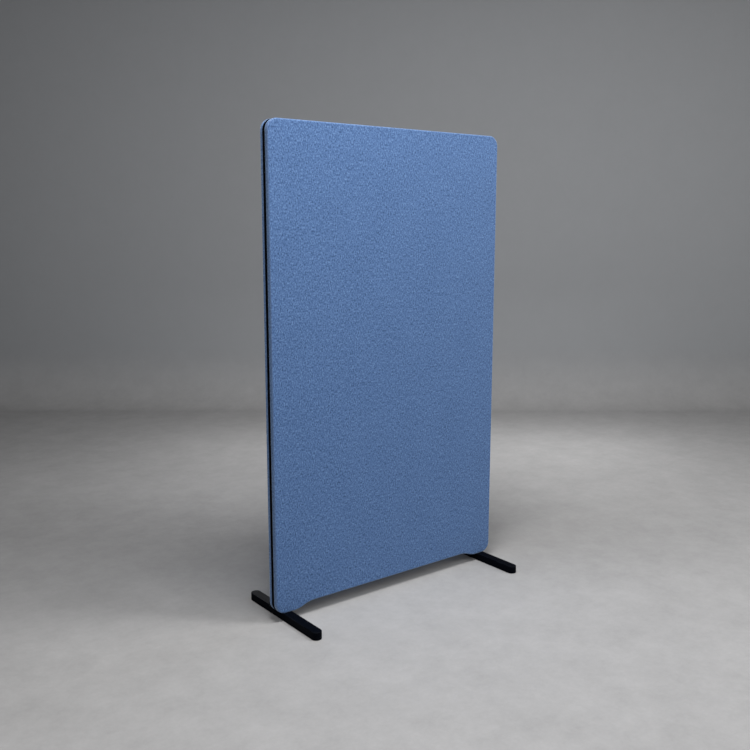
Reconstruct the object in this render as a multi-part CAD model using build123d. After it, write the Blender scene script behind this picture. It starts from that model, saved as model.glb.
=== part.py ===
from build123d import *
import math
import os

os.makedirs("parts", exist_ok=True)

# A free-standing acoustic divider screen, in millimetres. X runs along its width, Y from front
# to back and Z up. The origin is on the floor, under the middle of the panel.

# Overall sizes
screen_width = 1000.0
screen_height = 1650.0
shell_thickness = 15.0
core_thickness = 16.0

# Outline of the panel
corner_radius = 38.0
lug_width = 70.0
arch_rise = 17.0
arch_radius = 110.0
groove_depth = 10.0

# Fabric-covered shells
fabric_thickness = 1.0
board_thickness = 3.0
face_round = 5.0
groove_edge_round = 0.7
hem_width = 25.0

# Staples in the hems
staple_crown = 10.0
staple_wire = 0.7
staple_leg = 3.0
staple_pitch = 100.0
staple_hem_place_share = 0.5

# Core frame
stile_width = 60.0
top_rail_height = 60.0
middle_rail_height = 60.0
bottom_rail_height = 90.0
middle_rail_place_share = 0.5
dowel_diameter = 8.0
dowel_length = 50.0
dowel_spacing = 30.0

# Push-in clips between the shells and the frame
clip_stem_diameter = 7.0
clip_stem_length = 6.5
clip_spigot_diameter = 9.0
clip_flange_diameter = 16.0
clip_bulb_diameter = 8.0
clip_bulb_length = 2.0
socket_diameter = 14.0
socket_depth = 7.5
socket_floor = 0.7
clip_stagger = 30.0
stile_clip_place_shares = (0.12, 0.4, 0.64, 0.88)
rail_clip_place_share = 0.4

# Edge channels and the screws that hold them
channel_depth = 9.5
channel_base = 2.0
channel_wall = 1.5
channel_lip = 1.5
channel_mouth = 8.0
channel_screw_diameter = 3.5
channel_screw_head_diameter = 7.0
channel_screw_head_height = 1.8
channel_screw_length = 24.0
channel_screw_cross_length = 3.6
channel_screw_cross_width = 0.8
channel_screw_cross_depth = 0.9
side_screw_place_shares = (0.1, 0.3, 0.5, 0.7, 0.9)
top_screw_place_shares = (0.1, 0.37, 0.63, 0.9)

# Bar feet
foot_length = 420.0
foot_width = 35.0
foot_height = 27.0
foot_inset = 46.0
foot_top_round = 2.0
foot_bottom_round = 0.8

# Screws that hold the feet, and their inserts in the bottom rail
foot_screw_spacing = 20.0
foot_screw_diameter = 6.0
foot_screw_length = 36.0
foot_screw_head_diameter = 10.0
foot_screw_head_height = 6.0
foot_screw_socket = 5.0
foot_screw_socket_depth = 3.0
foot_screw_head_recess = 7.0
insert_diameter = 10.0
insert_length = 18.0
insert_bore_depth = 20.0

# Levelling glides
glide_gap = 1.0
glide_diameter = 22.0
glide_thickness = 6.0
glide_inset = 24.0
glide_edge_round = 1.0
glide_stud_diameter = 8.0
glide_stud_length = 18.0
glide_stud_seat = 3.0
glide_hole_depth = 22.0

# Clearances
channel_side_clearance = 0.2
channel_end_gap = 0.5
channel_head_sink = 0.1
dowel_clearance = 0.1
dowel_end_gap = 1.0
insert_clearance = 0.1
thread_clearance = 0.1
screw_hole_clearance = 0.25
clip_clearance = 0.1
glide_seat_gap = 0.3
glide_side_gap = 0.75
glide_thread_gap = 0.06
overrun = 5.0

# Places and sizes that follow from those above
half_width = screen_width / 2
half_core = core_thickness / 2
half_thickness = half_core + shell_thickness
board_back = half_core + fabric_thickness
board_front = board_back + board_thickness
pad_front = half_thickness - fabric_thickness
foot_top = glide_gap + foot_height
foot_x = half_width - foot_inset
glide_y = foot_length / 2 - glide_inset
arch_z = foot_top + arch_rise
arch_angle = math.acos(1 - arch_rise / (2 * arch_radius))
arch_start_x = half_width - lug_width
arch_end_x = arch_start_x - 2 * arch_radius * math.sin(arch_angle)
corner_x = half_width - corner_radius
bottom_corner_z = foot_top + corner_radius
top_corner_z = screen_height - corner_radius
core_side = half_width - groove_depth
core_top = screen_height - groove_depth
core_arch_z = arch_z + groove_depth
core_corner_radius = corner_radius - groove_depth
stile_x = core_side - stile_width / 2
stile_inner_x = core_side - stile_width
stile_bottom_z = core_arch_z + bottom_rail_height
stile_top_z = core_top - top_rail_height
middle_rail_z = stile_bottom_z + (stile_top_z - stile_bottom_z) * middle_rail_place_share
middle_rail_low = middle_rail_z - middle_rail_height / 2
middle_rail_high = middle_rail_z + middle_rail_height / 2


def between(low, high, share):
    """The place at a share of the way from low to high."""
    return low + (high - low) * share


def block(low, high):
    """A box between two opposite corners."""
    middle = [(a + b) / 2 for a, b in zip(low, high)]
    return Pos(*middle) * Box(*[b - a for a, b in zip(low, high)])


def upright(diameter, low, high):
    """A rod along Z between two heights."""
    return Pos(0, 0, (low + high) / 2) * Cylinder(diameter / 2, high - low)


def crosswise(diameter, front, back):
    """A rod along Y between two depths."""
    rod = Cylinder(diameter / 2, back - front)
    return Pos(0, (front + back) / 2, 0) * Rot(90, 0, 0) * rod


def save(name, *shapes):
    """Writes one node, from one solid or from several separate ones."""
    solids = [solid for shape in shapes for solid in shape.solids()]
    node = solids[0] if len(solids) == 1 else Compound(children=solids)
    export_step(node, f"parts/{name}.step")


def arc(centre, radius, start, end):
    """An arc between two angles, in degrees from the sketch's own X."""
    points = []
    for angle in (start, (start + end) / 2, end):
        turn = math.radians(angle)
        points.append((centre[0] + radius * math.cos(turn), centre[1] + radius * math.sin(turn)))
    return ThreePointArc(*points)


def panel_face(inset):
    """The panel's outline, with its lugs and shallow arch, drawn in by inset, across X and Z."""
    swing = math.degrees(arch_angle)
    top_corner = arc((corner_x, top_corner_z), corner_radius - inset, 90, 0)
    bottom_corner = arc((corner_x, bottom_corner_z), corner_radius - inset, 0, -90)
    lug_arc = arc((arch_start_x, foot_top + arch_radius), arch_radius - inset, -90, -90 - swing)
    arch_arc = arc((arch_end_x, arch_z - arch_radius), arch_radius + inset, 90 - swing, 90)
    half = Curve() + [
        Line((0, screen_height - inset), top_corner @ 0),
        top_corner,
        Line(top_corner @ 1, bottom_corner @ 0),
        bottom_corner,
        Line(bottom_corner @ 1, lug_arc @ 0),
        lug_arc,
        arch_arc,
        Line(arch_arc @ 1, (0, arch_z + inset)),
    ]
    return make_face(half + mirror(half, about=Plane.YZ))


def plate(inset, back, front, face_radius=0, back_radius=0):
    """A plate with the panel's outline, from y = -back to y = -front, with rounded edges."""
    solid = extrude(Plane.XZ.offset(back) * panel_face(inset), amount=front - back)
    if face_radius:
        solid = fillet(solid.faces().sort_by(Axis.Y)[0].edges(), face_radius)
    if back_radius:
        solid = fillet(solid.faces().sort_by(Axis.Y)[-1].edges(), back_radius)
    return solid


def staple_places():
    """Places of the front staples along the middle of the hem, with the turn of each."""
    inset = hem_width * staple_hem_place_share
    places = []
    count = round((top_corner_z - bottom_corner_z) / staple_pitch)
    for index in range(count + 1):
        z = between(bottom_corner_z, top_corner_z, index / count)
        for x in (inset - half_width, half_width - inset):
            places.append(Pos(x, -half_core, z) * Rot(0, 90, 0))
    for z, reach in ((screen_height - inset, corner_x), (arch_z + inset, arch_end_x)):
        count = round(2 * reach / staple_pitch)
        for index in range(1, count):
            places.append(Pos(between(-reach, reach, index / count), -half_core, z))
    return places


def make_staple():
    """A staple with its crown flush with the hem and its legs pointing to the front."""
    height = staple_wire + staple_leg
    gap = Pos(0, -staple_wire) * Rectangle(staple_crown - 2 * staple_wire, height)
    flat = Rectangle(staple_crown, height) - gap
    return Pos(0, -height / 2, 0) * extrude(flat, amount=staple_wire / 2, both=True)


def clip_places(stagger):
    """Places of a shell's clips on the frame's front face, moved along it by stagger."""
    places = []
    for share in stile_clip_place_shares:
        z = between(stile_bottom_z, stile_top_z, share) + stagger
        places += [Pos(side * stile_x, -half_core, z) for side in (-1, 1)]
    for side in (-1, 1):
        x = side * (stile_inner_x * rail_clip_place_share + stagger)
        for z in (core_top - top_rail_height / 2, core_arch_z + bottom_rail_height / 2):
            places.append(Pos(x, -half_core, z))
    return places


def clip_spigot(clearance=0):
    """The end of a clip stud that sits in the board."""
    diameter = clip_spigot_diameter + 2 * clearance
    return crosswise(diameter, half_core - board_front, half_core - board_back)


def make_clip_stud():
    """A push-in stud: flange behind the board, spigot in the board and stem in the frame."""
    flange = crosswise(clip_flange_diameter, half_core - board_back, 0)
    stem = crosswise(clip_stem_diameter, 0, clip_stem_length)
    bulb = crosswise(clip_bulb_diameter, clip_stem_length - clip_bulb_length, clip_stem_length)
    bulb = chamfer(bulb.edges().filter_by(GeomType.CIRCLE), clip_bulb_length / 4)
    return flange + clip_spigot() + stem + bulb


def make_clip_socket():
    """A socket sunk in the frame's face, which takes a stud's stem."""
    bore = clip_bulb_diameter + 2 * clip_clearance
    body = crosswise(socket_diameter, 0, socket_depth)
    return body - crosswise(bore, -overrun, socket_depth - socket_floor)


def make_shell(stagger):
    """The front shell's cover, pad, board, staples and clip studs."""
    pad = plate(fabric_thickness, board_front, pad_front, face_round - fabric_thickness)
    board = plate(fabric_thickness, board_back, board_front)
    window = plate(hem_width, half_core, board_back)
    staples = [place * make_staple() for place in staple_places()]
    outside = plate(0, half_core, half_thickness, face_round, groove_edge_round)
    cover = outside - pad - board - window - staples
    board -= staples + [place * clip_spigot(clip_clearance) for place in clip_places(stagger)]
    studs = [place * make_clip_stud() for place in clip_places(stagger)]
    return {
        "fabric_cover": [cover],
        "absorber_pad": [pad],
        "backing_board": [board],
        "staples": staples,
        "clip_studs": studs,
    }


def make_frame():
    """The stiles and rails, before their bores."""
    core = extrude(Plane.XZ.offset(-half_core) * panel_face(groove_depth), amount=core_thickness)
    top_rail = core & block((-half_width, -half_core, stile_top_z),
                            (half_width, half_core, screen_height))
    bottom_rail = core & block((-half_width, -half_core, 0),
                               (half_width, half_core, stile_bottom_z))
    for side in (-1, 1):
        x = side * foot_x
        bottom_rail += block((x - foot_width / 2, -half_core, foot_top),
                             (x + foot_width / 2, half_core, bottom_corner_z))
    stile = block((stile_inner_x, -half_core, stile_bottom_z), (core_side, half_core, stile_top_z))
    middle_rail = block((-stile_inner_x, -half_core, middle_rail_low),
                        (stile_inner_x, half_core, middle_rail_high))
    return {
        "left_stile": mirror(stile, about=Plane.YZ),
        "right_stile": stile,
        "top_rail": top_rail,
        "middle_rail": middle_rail,
        "bottom_rail": bottom_rail,
    }


def dowel_places():
    """Places of the frame's dowels, each centred on its joint."""
    places = []
    for side in (-1, 1):
        for step in (-dowel_spacing / 2, dowel_spacing / 2):
            x = side * stile_x + step
            places += [Pos(x, 0, stile_bottom_z), Pos(x, 0, stile_top_z)]
            places.append(Pos(side * stile_inner_x, 0, middle_rail_z + step) * Rot(0, 90, 0))
    return places


def make_dowel(clearance=0, end_gap=0):
    """A dowel, or its bore where it has a clearance and an end gap."""
    half = dowel_length / 2 + end_gap
    return upright(dowel_diameter + 2 * clearance, -half, half)


def channel_section(plane):
    """The channel's C-shaped section, with its base at x = 0 and its mouth towards +x."""
    outer = half_core - channel_side_clearance
    inner = outer - channel_wall
    mouth = channel_mouth / 2
    lip = channel_depth - channel_lip
    half = Polyline((0, 0), (0, outer), (channel_depth, outer), (channel_depth, mouth),
                    (lip, mouth), (lip, inner), (channel_base, inner), (channel_base, 0))
    return plane * make_face(half + mirror(half, about=Plane.XZ))


def make_side_channel():
    """The right-hand channel, between the two corners."""
    low = bottom_corner_z + channel_end_gap
    section = channel_section(Plane(origin=(core_side, 0, low)))
    return extrude(section, amount=top_corner_z - channel_end_gap - low)


def make_top_channel():
    """The channel along the top edge."""
    reach = corner_x - channel_end_gap
    plane = Plane(origin=(-reach, 0, core_top), x_dir=(0, 0, 1), z_dir=(1, 0, 0))
    return extrude(channel_section(plane), amount=2 * reach)


def make_corner_insert(centre_z, upwards):
    """A right-hand corner insert: the channel's section turned a quarter round the corner."""
    section = channel_section(Plane(origin=(corner_x + core_corner_radius, 0, centre_z)))
    axis = Axis((corner_x, 0, centre_z), (0, -1 if upwards else 1, 0))
    insert = revolve(section, axis=axis, revolution_arc=90)
    if upwards:
        return insert
    tenon_side = foot_x + foot_width / 2 + channel_side_clearance
    return insert - block((corner_x - overrun, -half_thickness, 0),
                          (tenon_side, half_thickness, bottom_corner_z))


def channel_screw_places():
    """Places of the channel screws, with their heads sunk in the channels' bases."""
    reach = core_side + channel_base - channel_head_sink
    places = []
    for share in side_screw_place_shares:
        z = between(bottom_corner_z, top_corner_z, share)
        places += [Pos(reach, 0, z), Pos(-reach, 0, z) * Rot(0, 180, 0)]
    for share in top_screw_place_shares:
        x = between(-corner_x, corner_x, share)
        places.append(Pos(x, 0, core_top + channel_base - channel_head_sink) * Rot(0, -90, 0))
    return places


def channel_screw_body(clearance=0):
    """A countersunk screw that points to -X, with the top of its head at x = 0."""
    shank = channel_screw_diameter / 2 + clearance
    head = channel_screw_head_diameter / 2 + clearance
    profile = Polyline((0, 0), (0, head), (-channel_screw_head_height, shank),
                       (-channel_screw_length, shank), (-channel_screw_length, 0), (0, 0))
    return revolve(make_face(profile), axis=Axis.X)


def channel_screw_bore():
    """The screw's hole, open above its head."""
    radius = channel_screw_head_diameter / 2 + thread_clearance
    way_in = Pos(channel_head_sink / 2, 0, 0) * Rot(0, 90, 0) * Cylinder(radius, channel_head_sink)
    return channel_screw_body(thread_clearance) + way_in


def make_channel_screw():
    """The countersunk screw with its cross recess."""
    long = channel_screw_cross_length / 2
    short = channel_screw_cross_width / 2
    screw = channel_screw_body()
    for y, z in ((long, short), (short, long)):
        screw -= block((-channel_screw_cross_depth, -y, -z), (overrun, y, z))
    return screw


def foot_screw_places(side):
    """Places of a foot's two screws, level with the bar's underside."""
    steps = (-foot_screw_spacing / 2, foot_screw_spacing / 2)
    return [Pos(side * foot_x + step, 0, glide_gap) for step in steps]


def make_foot_bar(side):
    """A bar foot with round ends, its holes for the screws and its seats for the glides."""
    slot = SlotOverall(foot_length, foot_width, rotation=90)
    bar = extrude(Pos(side * foot_x, 0, glide_gap) * slot, amount=foot_height)
    bar = fillet(bar.faces().sort_by(Axis.Z)[-1].edges(), foot_top_round)
    bar = fillet(bar.faces().sort_by(Axis.Z)[0].edges(), foot_bottom_round)
    shank = foot_screw_diameter + 2 * screw_hole_clearance
    head = foot_screw_head_diameter + 2 * screw_hole_clearance
    for place in foot_screw_places(side):
        bar -= place * upright(shank, -overrun, foot_height + overrun)
        bar -= place * upright(head, -overrun, foot_screw_head_recess)
    seat = glide_diameter + 2 * glide_side_gap
    thread = glide_stud_diameter + 2 * glide_thread_gap
    for y in (-glide_y, glide_y):
        place = Pos(side * foot_x, y, 0)
        bar -= place * upright(seat, -overrun, glide_thickness + glide_seat_gap)
        bar -= place * upright(thread, -overrun, glide_gap + glide_hole_depth)
    return bar


def make_foot_screw():
    """A socket screw, with its head's upper face against the bar's recess."""
    head_low = foot_screw_head_recess - foot_screw_head_height
    head = upright(foot_screw_head_diameter, head_low, foot_screw_head_recess)
    shank = upright(foot_screw_diameter, foot_screw_head_recess,
                    foot_screw_head_recess + foot_screw_length)
    hexagon = RegularPolygon(foot_screw_socket / 2, 6, major_radius=False)
    socket = extrude(hexagon, amount=foot_screw_socket_depth)
    return head + shank - Pos(0, 0, head_low) * socket


def make_insert():
    """A threaded insert, from the bar's top up into the bottom rail."""
    bore = foot_screw_diameter + 2 * thread_clearance
    high = foot_height + insert_length
    return upright(insert_diameter, foot_height, high) - upright(bore, 0, high + overrun)


def make_glide_pad():
    """The pad of a levelling glide, with a seat for its stud."""
    pad = upright(glide_diameter, 0, glide_thickness)
    rims = pad.edges().filter_by(GeomType.CIRCLE).sort_by(Axis.Z)
    pad = fillet(rims[0], glide_edge_round)
    return pad - upright(glide_stud_diameter, glide_thickness - glide_stud_seat,
                         glide_thickness + overrun)


def make_glide_stud():
    """The threaded stud of a levelling glide, standing in its pad."""
    low = glide_thickness - glide_stud_seat
    return upright(glide_stud_diameter, low, low + glide_stud_length)


# Shells: the rear one is the front one mirrored, with its clips moved along the frame
for name, pieces in make_shell(0).items():
    save(f"front_{name}", *pieces)
for name, pieces in make_shell(clip_stagger).items():
    save(f"rear_{name}", *[mirror(piece, about=Plane.XZ) for piece in pieces])

# Frame with its bores, and what sits in them
sockets = [place * make_clip_socket() for place in clip_places(0)]
rear_sockets = [place * make_clip_socket() for place in clip_places(clip_stagger)]
sockets += [mirror(socket, about=Plane.XZ) for socket in rear_sockets]
inserts = [place * make_insert() for side in (-1, 1) for place in foot_screw_places(side)]
channel_screws = [place * make_channel_screw() for place in channel_screw_places()]

bores = [place * make_dowel(dowel_clearance, dowel_end_gap) for place in dowel_places()]
socket_bore = crosswise(socket_diameter + 2 * clip_clearance, -overrun, socket_depth)
bores += [place * socket_bore for place in clip_places(0)]
rear_bores = [place * socket_bore for place in clip_places(clip_stagger)]
bores += [mirror(bore, about=Plane.XZ) for bore in rear_bores]
insert_bore = upright(insert_diameter + 2 * insert_clearance, 0, foot_height + insert_bore_depth)
bores += [place * insert_bore for side in (-1, 1) for place in foot_screw_places(side)]
screw_bores = [place * channel_screw_bore() for place in channel_screw_places()]

for name, member in make_frame().items():
    save(name, member - bores - screw_bores)
save("frame_dowels", *[place * make_dowel() for place in dowel_places()])
save("clip_sockets", *sockets)
save("lower_core_slab", block((-stile_inner_x, -half_core, stile_bottom_z),
                              (stile_inner_x, half_core, middle_rail_low)))
save("upper_core_slab", block((-stile_inner_x, -half_core, middle_rail_high),
                              (stile_inner_x, half_core, stile_top_z)))

# Channels and corner inserts round the edge
side_channel = make_side_channel()
save("right_edge_channel", side_channel - screw_bores)
save("left_edge_channel", mirror(side_channel, about=Plane.YZ) - screw_bores)
save("top_edge_channel", make_top_channel() - screw_bores)
save("channel_screws", *channel_screws)
for level, centre_z, upwards in (("top", top_corner_z, True), ("bottom", bottom_corner_z, False)):
    insert = make_corner_insert(centre_z, upwards)
    save(f"{level}_right_corner_insert", insert)
    save(f"{level}_left_corner_insert", mirror(insert, about=Plane.YZ))

# Feet, their screws and inserts, and the levelling glides
foot_screws = [place * make_foot_screw() for side in (-1, 1) for place in foot_screw_places(side)]
save("foot_screws", *foot_screws)
save("foot_inserts", *inserts)
for hand, side in (("left", -1), ("right", 1)):
    save(f"{hand}_foot_bar", make_foot_bar(side))
    for end, y in (("front", -glide_y), ("rear", glide_y)):
        place = Pos(side * foot_x, y, 0)
        save(f"{hand}_{end}_glide_pad", place * make_glide_pad())
        save(f"{hand}_{end}_glide_stud", place * make_glide_stud())
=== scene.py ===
import math

import bmesh
import bpy
from bpy.props import FloatProperty, FloatVectorProperty, IntProperty, PointerProperty
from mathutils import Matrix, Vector, noise


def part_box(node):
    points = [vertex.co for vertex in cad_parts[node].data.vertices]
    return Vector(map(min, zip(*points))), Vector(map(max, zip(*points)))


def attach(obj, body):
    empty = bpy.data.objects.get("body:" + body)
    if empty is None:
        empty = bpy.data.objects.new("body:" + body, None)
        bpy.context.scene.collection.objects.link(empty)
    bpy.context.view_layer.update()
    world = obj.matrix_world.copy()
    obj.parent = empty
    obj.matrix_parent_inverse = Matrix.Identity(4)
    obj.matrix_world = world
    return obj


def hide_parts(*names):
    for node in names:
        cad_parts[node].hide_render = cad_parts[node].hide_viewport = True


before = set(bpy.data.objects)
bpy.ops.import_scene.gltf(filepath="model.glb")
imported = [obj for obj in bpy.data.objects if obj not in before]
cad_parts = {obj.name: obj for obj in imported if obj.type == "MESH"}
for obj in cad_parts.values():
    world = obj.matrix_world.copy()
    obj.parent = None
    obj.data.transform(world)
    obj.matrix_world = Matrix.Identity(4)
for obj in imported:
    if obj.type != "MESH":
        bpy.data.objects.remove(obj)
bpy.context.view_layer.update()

bl_info = {
    "name": "Acoustic divider screen",
    "version": (1, 0, 0),
    "blender": (4, 5, 0),
    "location": "3D View > Sidebar > Screen",
    "description": "Builds the looks of a fabric-covered divider screen round its packed frame",
    "category": "Add Mesh",
}

COVER_LOW, COVER_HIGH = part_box("front_fabric_cover")
PAD_LOW, PAD_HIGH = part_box("front_absorber_pad")
CHANNEL_LOW, CHANNEL_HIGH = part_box("right_edge_channel")
TOP_CHANNEL_LOW, TOP_CHANNEL_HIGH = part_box("top_edge_channel")
GLIDE_LOW, GLIDE_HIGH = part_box("left_front_glide_pad")
STUD_LOW, STUD_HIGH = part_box("left_front_glide_stud")
CHANNEL_NAMES = ("edge_channel", "drawn_channel")
CORNER_NAMES = ("corner_insert", "groove_corner")
GLIDES = ("left_front", "left_rear", "right_front", "right_rear")
SHELLS = (("front", 1), ("rear", -1))
UP, ALONG_X, BACK_X = (0.0, 0.0, 0.0), (0.0, math.pi / 2, 0.0), (0.0, -math.pi / 2, 0.0)
MM = 0.001
PLAY = 0.1 * MM
REAR_UV_SHIFT = 3.7
LIT_MIDDLE = (0.0, 0.0, 0.8)
SLANT = Vector((1.0, 0.37, 0.113))
FLOOR_BEHIND_CAMERA, HALF_FLOOR, WALL_HEIGHT = 14.0, 12.0, 6.0
# Middle and reach of the painted shadow that darkens the floor round the screen.
PAINTED_SHADOW_PLACE, PAINTED_SHADOW_REACH = (-0.058, 0.741, 0.0), (3.0, 0.85, 1.0)


def named(group):
    """Names a group's properties after their fields, in plain words."""
    for field, made in group.__annotations__.items():
        made.keywords["name"] = field.replace("_", " ").capitalize()
    return group


def number(note, default, **kind):
    """A number that a user may change."""
    return FloatProperty(description=note, default=default, **kind)


def size(note, default):
    """A length that a user may change, in metres."""
    return number(note, default, min=0.0, precision=4, subtype="DISTANCE", unit="LENGTH")


def view_angle(note, default):
    """An angle that a user may change."""
    return number(note, default, subtype="ANGLE", unit="ROTATION")


def lamp_power(note, default):
    """The power of a lamp that a user may change."""
    return number(note, default, min=0.0, unit="POWER")


def colour(note, default):
    """A linear colour that a user may change."""
    return FloatVectorProperty(
        description=note, default=default, min=0.0, max=1.0, size=3, subtype="COLOR",
    )


@named
class PanelSizes(bpy.types.PropertyGroup):
    """Sizes of the panel and of the cloth round it."""

    width: size("Width of the panel", COVER_HIGH.x - COVER_LOW.x)
    height: size("Top edge above the floor", COVER_HIGH.z)
    lug_height: size("Underside of the lugs above the floor", COVER_LOW.z)
    half_thickness: size("From the panel's middle to its face", -COVER_LOW.y)
    half_core: size("Half the thickness of the core", -COVER_HIGH.y)
    corner_radius: size("Radius of the four corners", 38 * MM)
    lug_width: size("Width of the flat lug over each foot", 70 * MM)
    arch_rise: size("Height of the arch above the lugs", 17 * MM)
    arch_radius: size("Radius of the curves beside each lug", 110 * MM)
    face_round: size("Radius between face and sides", 5 * MM)
    groove_round: size("Radius of the cloth's turn into the hem", 0.7 * MM)
    hem_width: size("Width of the hem behind the shell", 25 * MM)
    cloth: size("Thickness of the cloth", 1 * MM)
    crown: size("How proud the cloth stands in the middle of the face", 0.5 * MM)
    ripple: size("Height of the stretched cloth's unevenness", 0.25 * MM)
    margin: size("Width over which the crown rises from the edge", 90 * MM)
    pad_inset: size("From the outline to the pad", PAD_LOW.x - COVER_LOW.x)
    pad_front: size("From the panel's middle to the pad's face", -PAD_LOW.y)
    pad_back: size("From the panel's middle to the pad's back", -PAD_HIGH.y)
    stain_top: size("Height of the black stain on the bottom rail", 70 * MM)


@named
class ChannelSizes(bpy.types.PropertyGroup):
    """Sizes of the channel in the groove and of the screws that hold it."""

    depth: size("Depth of the channel", CHANNEL_HIGH.x - CHANNEL_LOW.x)
    width: size("Width of the channel", CHANNEL_HIGH.y - CHANNEL_LOW.y)
    base: size("Thickness of the base", 2 * MM)
    wall: size("Thickness of the walls", 1.5 * MM)
    lip: size("Thickness of the lips", 1.5 * MM)
    mouth: size("Width of the mouth between the lips", 8 * MM)
    edge: size("Radius of the channel's edges", 0.25 * MM)
    inset: size("From the panel's edge to the channel's base", COVER_HIGH.x - CHANNEL_LOW.x)
    gap: size("Half the gap between a channel and a corner insert", 0.5 * MM)
    tenon: size("Outer side of the bottom rail's tenon", 471.7 * MM)
    head: size("Diameter of a screw's countersunk head", 7 * MM)
    head_height: size("Height of the countersunk head", 1.8 * MM)
    shank: size("Diameter of a screw's shank", 3.5 * MM)
    length: size("Length of a channel screw", 24 * MM)
    pitch: size("Pitch of a channel screw's thread", 1.6 * MM)
    thread: size("Depth of a channel screw's thread", 0.7 * MM)
    recess: size("Length of the cross recess", 3.6 * MM)
    recess_width: size("Width of the cross recess", 0.8 * MM)
    recess_depth: size("Depth of the cross recess", 0.9 * MM)


@named
class FastenerSizes(bpy.types.PropertyGroup):
    """Sizes of the staples, clips, dowels, foot screws and inserts."""

    staple_crown: size("Width of a staple", 10 * MM)
    staple_leg: size("Height of a staple", 3.7 * MM)
    staple_wire: size("Thickness of a staple's wire", 0.7 * MM)
    staple_bend: size("Radius of a staple's bends", 0.6 * MM)
    flange: size("Radius of a clip stud's flange", 8 * MM)
    spigot: size("Radius of a clip stud's spigot", 4.5 * MM)
    stem: size("Radius of a clip stud's stem", 3.5 * MM)
    bulb: size("Radius of a clip stud's bulb", 4 * MM)
    dowel: size("Radius of a frame dowel", 4 * MM)
    dowel_length: size("Length of a frame dowel", 50 * MM)
    dowel_taper: size("Length of a dowel's tapered ends", 1.5 * MM)
    flute: size("Depth of the flutes of a dowel", 0.25 * MM)
    screw_head: size("Radius of a foot screw's head", 5 * MM)
    screw_head_height: size("Height of a foot screw's head", 6 * MM)
    screw_radius: size("Radius of a foot screw's thread", 3 * MM)
    screw_length: size("Length of a foot screw under its head", 36 * MM)
    screw_pitch: size("Pitch of a foot screw's thread", 1 * MM)
    screw_thread: size("Depth of a foot screw's thread", 0.6 * MM)
    socket: size("Radius of the hexagon socket over its corners", 2.887 * MM)
    socket_depth: size("Depth of the hexagon socket", 3 * MM)
    insert: size("Radius of a foot insert", 5 * MM)
    insert_length: size("Length of a foot insert", 18 * MM)
    insert_pitch: size("Pitch of the insert's outer thread", 3 * MM)
    insert_thread: size("Depth of the insert's outer thread", 1 * MM)


@named
class GlideSizes(bpy.types.PropertyGroup):
    """Sizes of the levelling glides under the feet."""

    radius: size("Radius of a glide's pad", (GLIDE_HIGH.x - GLIDE_LOW.x) / 2)
    height: size("Height of a glide's pad", GLIDE_HIGH.z - GLIDE_LOW.z)
    edge: size("Radius of the pad's lower edge", 1 * MM)
    stud: size("Radius of the stud's thread", (STUD_HIGH.x - STUD_LOW.x) / 2)
    length: size("Length of the stud", STUD_HIGH.z - STUD_LOW.z)
    pitch: size("Pitch of the stud's thread", 1.25 * MM)
    thread: size("Depth of the stud's thread", 0.6 * MM)


@named
class ScreenColours(bpy.types.PropertyGroup):
    """Colours of the materials."""

    cloth: colour("The cloth's middle blue", (0.086, 0.172, 0.372))
    cloth_dark: colour("The cloth's darkest yarns", (0.033, 0.076, 0.187))
    cloth_light: colour("The cloth's palest yarns", (0.169, 0.292, 0.545))
    # Paler cloth painted on the rounded edges: a painted highlight.
    cloth_rim_highlight: colour("The cloth on the rounded edges", (0.155, 0.215, 0.34))
    felt: colour("The absorber pads", (0.20, 0.20, 0.205))
    board: colour("The fibre boards", (0.24, 0.155, 0.085))
    timber: colour("The frame's pale wood", (0.62, 0.44, 0.26))
    timber_dark: colour("The wood's darker rings", (0.44, 0.27, 0.13))
    stain: colour("The underside of the bottom rail", (0.006, 0.006, 0.007))
    beech: colour("The dowels", (0.58, 0.38, 0.22))
    fibre: colour("The core slabs", (0.46, 0.45, 0.40))
    channel: colour("The channels and corner inserts", (0.0020, 0.0024, 0.0036))
    coat: colour("The feet", (0.0020, 0.0027, 0.0052))
    # The paler rounded edges of the feet: partly rubbed coat, partly a painted highlight.
    wear: colour("The coat where it is rubbed", (0.012, 0.014, 0.018))
    nylon: colour("The clips", (0.72, 0.71, 0.67))
    glide: colour("The glides' pads", (0.016, 0.016, 0.017))
    zinc: colour("Studs and foot screws", (0.56, 0.57, 0.59))
    wire: colour("The staples", (0.50, 0.50, 0.51))
    brass: colour("The foot inserts", (0.70, 0.50, 0.22))
    screw: colour("The channel screws", (0.018, 0.018, 0.020))
    floor: colour("The studio floor", (0.39, 0.385, 0.385))
    wall: colour("The studio wall", (0.40, 0.41, 0.425))
    beyond: colour("What is seen past the backdrop", (0.036, 0.037, 0.039))


@named
class StudioSettings(bpy.types.PropertyGroup):
    """The camera and the lamps."""

    camera_place: FloatVectorProperty(
        description="Place of the camera", size=3, default=(-1.94607, -2.42462, 1.32243),
        subtype="TRANSLATION", unit="LENGTH",
    )
    camera_yaw: view_angle("Turn of the view from the panel's square front", math.radians(37.815))
    camera_pitch: view_angle("How far the view looks down", math.radians(9.632))
    lens: number("Focal length in millimetres", 42.307)
    sensor: number("Width of the sensor in millimetres", 36.0)
    wall_distance: size("From the screen to the wall behind it", 3.45)
    sweep_radius: size("Radius between the floor and the wall", 0.35)
    right_power: lamp_power("Power of the front right lamp", 61.0)
    left_power: lamp_power("Power of the front left lamp", 53.0)
    over_power: lamp_power("Power of the left lamp overhead", 60.0)
    back_power: lamp_power("Power of the lamp that spares the floor", 70.0)
    far_power: lamp_power("Power of the lamps over the far floor", 3.5)
    room_light: number("Strength of the even light of the room", 0.03)
    seed: IntProperty(description="Seed of the cloth's unevenness", default=7)


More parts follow.
